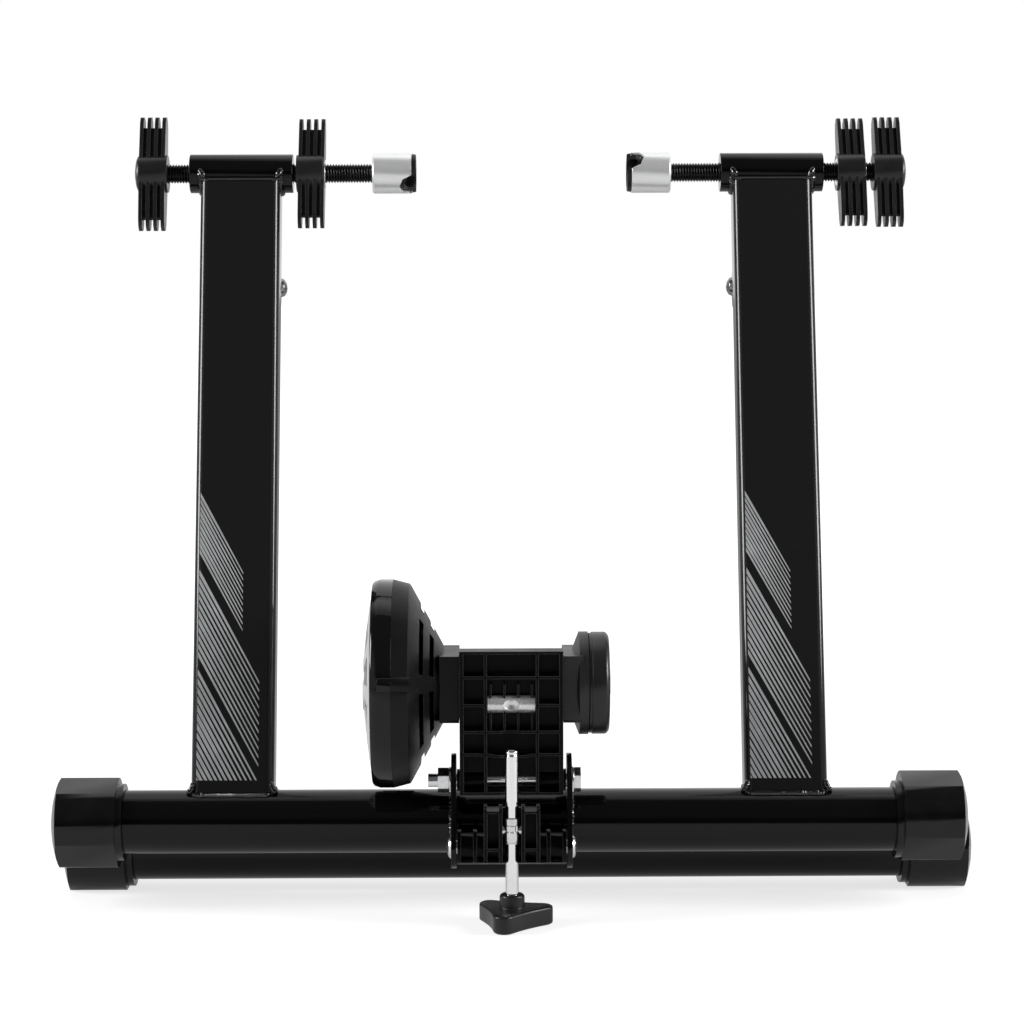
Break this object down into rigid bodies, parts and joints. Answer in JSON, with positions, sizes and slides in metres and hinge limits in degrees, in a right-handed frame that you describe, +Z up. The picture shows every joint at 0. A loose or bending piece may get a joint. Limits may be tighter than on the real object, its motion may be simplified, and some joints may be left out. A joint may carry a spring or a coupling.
{
  "type": "folded magnetic bike trainer",
  "caption": "Folding steel bike trainer stand, folded flat and standing, with winged axle clamps, a magnetic brake unit with a roller, and turning foot caps.",
  "frame": {"origin": "middle of the bounding box's footprint, on the floor", "axes": "+X to the right seen from the roller unit's front, along the bottom tubes; +Y backwards, the way the uprights lean; +Z up"},
  "size_m": [0.5584, 0.2152, 0.4723],
  "materials": {
    "gloss_black_paint": "gloss",
    "foot_plastic": "satin",
    "knob_plastic": "satin",
    "cast_plastic": "satin",
    "liner_plastic": "satin",
    "housing_matt": "matt grained",
    "housing_gloss": "gloss",
    "cup_aluminium": "machined",
    "turned_aluminium": "turned",
    "flywheel_black": "satin",
    "magnet_steel": "plain",
    "rod_chrome": "polished",
    "black_oxide": "black oxide",
    "zinc_steel": "bright zinc plated"
  },
  "bodies": {
    "main_frame": {"main_tube": "gloss_black_paint", "left_upright": "gloss_black_paint", "right_upright": "gloss_black_paint", "left_clamp_sleeve": "gloss_black_paint", "right_clamp_sleeve": "gloss_black_paint", "left_fold_bracket": "gloss_black_paint", "right_fold_bracket": "gloss_black_paint", "left_fold_pin": "zinc_steel", "right_fold_pin": "zinc_steel", "left_unit_plate": "gloss_black_paint", "right_unit_plate": "gloss_black_paint", "unit_pivot_bolt": "zinc_steel", "unit_pivot_nut": "zinc_steel", "left_pivot_washer": "zinc_steel", "right_pivot_washer": "zinc_steel", "yoke_bolt": "zinc_steel", "yoke_bolt_nut": "zinc_steel"},
    "leg_frame": {"leg_tube": "gloss_black_paint", "left_leg": "gloss_black_paint", "right_leg": "gloss_black_paint"},
    "main_left_foot": {"main_left_foot_cap": "foot_plastic"},
    "main_right_foot": {"main_right_foot_cap": "foot_plastic"},
    "leg_left_foot": {"leg_left_foot_cap": "foot_plastic"},
    "leg_right_foot": {"leg_right_foot_cap": "foot_plastic"},
    "roller_unit": {"unit_bracket": "cast_plastic", "tension_seat": "zinc_steel", "brake_back_shell": "housing_matt", "brake_rim_cover": "housing_gloss", "brake_face_cover": "turned_aluminium", "magnet_plate": "magnet_steel", "left_bearing": "zinc_steel", "right_bearing": "zinc_steel", "bearing_cover": "housing_matt"},
    "rotor": {"roller": "turned_aluminium", "roller_shaft": "zinc_steel", "brake_disc": "turned_aluminium", "flywheel": "flywheel_black", "left_shaft_nut": "zinc_steel", "right_shaft_nut": "zinc_steel"},
    "tension_yoke": {"yoke": "cast_plastic", "tension_nut": "zinc_steel"},
    "screw_tip": {"rod_tip": "rod_chrome"},
    "tension_screw": {"tension_rod": "rod_chrome", "tension_knob": "knob_plastic"},
    "left_cup": {"left_axle_cup": "cup_aluminium", "left_cup_liner": "liner_plastic"},
    "left_clamp_screw": {"left_spindle": "black_oxide", "left_end_knob": "knob_plastic"},
    "left_lock_nut": {"left_lock_insert": "zinc_steel"},
    "left_lock_wing": {"left_lock_knob": "knob_plastic"},
    "right_cup": {"right_axle_cup": "cup_aluminium", "right_cup_liner": "liner_plastic"},
    "right_clamp_screw": {"right_spindle": "black_oxide", "right_end_knob": "knob_plastic"},
    "right_lock_nut": {"right_lock_insert": "zinc_steel"},
    "right_lock_wing": {"right_lock_knob": "knob_plastic"}
  },
  "joints": [
    {"name": "fold_hinge", "type": "hinge", "parent": "main_frame", "child": "leg_frame", "pos_m": [-0.0051, 0.09268, 0.36572], "axis": [1, 0, 0], "range_deg": [0, 54]},
    {"name": "unit_tilt", "type": "hinge", "parent": "main_frame", "child": "roller_unit", "pos_m": [-0.0041, -0.05788, 0.08075], "axis": [1, 0, 0], "range_deg": [0, 52]},
    {"name": "yoke_tilt", "type": "hinge", "parent": "main_frame", "child": "tension_yoke", "pos_m": [-0.0041, -0.07188, 0.04395], "axis": [1, 0, 0], "range_deg": [0, 18]},
    {"name": "rotor_spin", "type": "hinge", "parent": "roller_unit", "child": "rotor", "pos_m": [-0.0041, -0.03988, 0.13535], "axis": [1, 0, 0], "continuous": true},
    {"name": "left_cup_slide", "type": "slide", "parent": "main_frame", "child": "left_cup", "axis": [1, 0, 0], "range_m": [-0.028, 0.013]},
    {"name": "left_clamp_turn", "type": "hinge", "parent": "left_cup", "child": "left_clamp_screw", "pos_m": [-0.15, 0.08458, 0.43695], "axis": [1, 0, 0], "range_deg": [-5759.4, 2674]},
    {"name": "right_cup_slide", "type": "slide", "parent": "main_frame", "child": "right_cup", "axis": [-1, 0, 0], "range_m": [-0.0305, 0.0039]},
    {"name": "right_clamp_turn", "type": "hinge", "parent": "right_cup", "child": "right_clamp_screw", "pos_m": [0.15, 0.08458, 0.43695], "axis": [-1, 0, 0], "range_deg": [-6273.7, 802.2]},
    {"name": "left_lock_slide", "type": "slide", "parent": "main_frame", "child": "left_lock_nut", "axis": [1, 0, 0], "range_m": [-0.002, 0.008]},
    {"name": "left_lock_turn", "type": "hinge", "parent": "left_lock_nut", "child": "left_lock_wing", "pos_m": [-0.15, 0.08458, 0.43695], "axis": [1, 0, 0], "range_deg": [-411.4, 1645.5]},
    {"name": "right_lock_slide", "type": "slide", "parent": "main_frame", "child": "right_lock_nut", "axis": [-1, 0, 0], "range_m": [-0.0039, 0.008]},
    {"name": "right_lock_turn", "type": "hinge", "parent": "right_lock_nut", "child": "right_lock_wing", "pos_m": [0.15, 0.08458, 0.43695], "axis": [-1, 0, 0], "range_deg": [-802.2, 1645.5]},
    {"name": "tension_slide", "type": "slide", "parent": "tension_yoke", "child": "screw_tip", "axis": [0, 0, -1], "range_m": [-0.01, 0.015]},
    {"name": "tension_turn", "type": "hinge", "parent": "screw_tip", "child": "tension_screw", "pos_m": [-0.0041, -0.08388, 0.04395], "axis": [0, 0, -1], "range_deg": [-2879.7, 4319.6]},
    {"name": "main_left_foot_turn", "type": "hinge", "parent": "main_frame", "child": "main_left_foot", "pos_m": [-0.2566, -0.02988, 0.05055], "axis": [1, 0, 0], "range_deg": [-90, 90]},
    {"name": "main_right_foot_turn", "type": "hinge", "parent": "main_frame", "child": "main_right_foot", "pos_m": [0.2464, -0.02988, 0.05055], "axis": [1, 0, 0], "range_deg": [-90, 90]},
    {"name": "leg_left_foot_turn", "type": "hinge", "parent": "leg_frame", "child": "leg_left_foot", "pos_m": [-0.2572, 0.02247, 0.02305], "axis": [1, 0, 0], "range_deg": [-90, 90]},
    {"name": "leg_right_foot_turn", "type": "hinge", "parent": "leg_frame", "child": "leg_right_foot", "pos_m": [0.2572, 0.02247, 0.02305], "axis": [1, 0, 0], "range_deg": [-90, 90]}
  ],
  "couplings": [
    {"joint": "yoke_tilt", "follows": "unit_tilt", "ratio": 0.343},
    {"joint": "left_cup_slide", "follows": "left_clamp_turn", "m_per_rad": 0.00027852},
    {"joint": "right_cup_slide", "follows": "right_clamp_turn", "m_per_rad": 0.00027852},
    {"joint": "left_lock_slide", "follows": "left_lock_turn", "m_per_rad": 0.00027852},
    {"joint": "right_lock_slide", "follows": "right_lock_turn", "m_per_rad": 0.00027852},
    {"joint": "tension_slide", "follows": "tension_turn", "m_per_rad": 0.00019894}
  ]
}
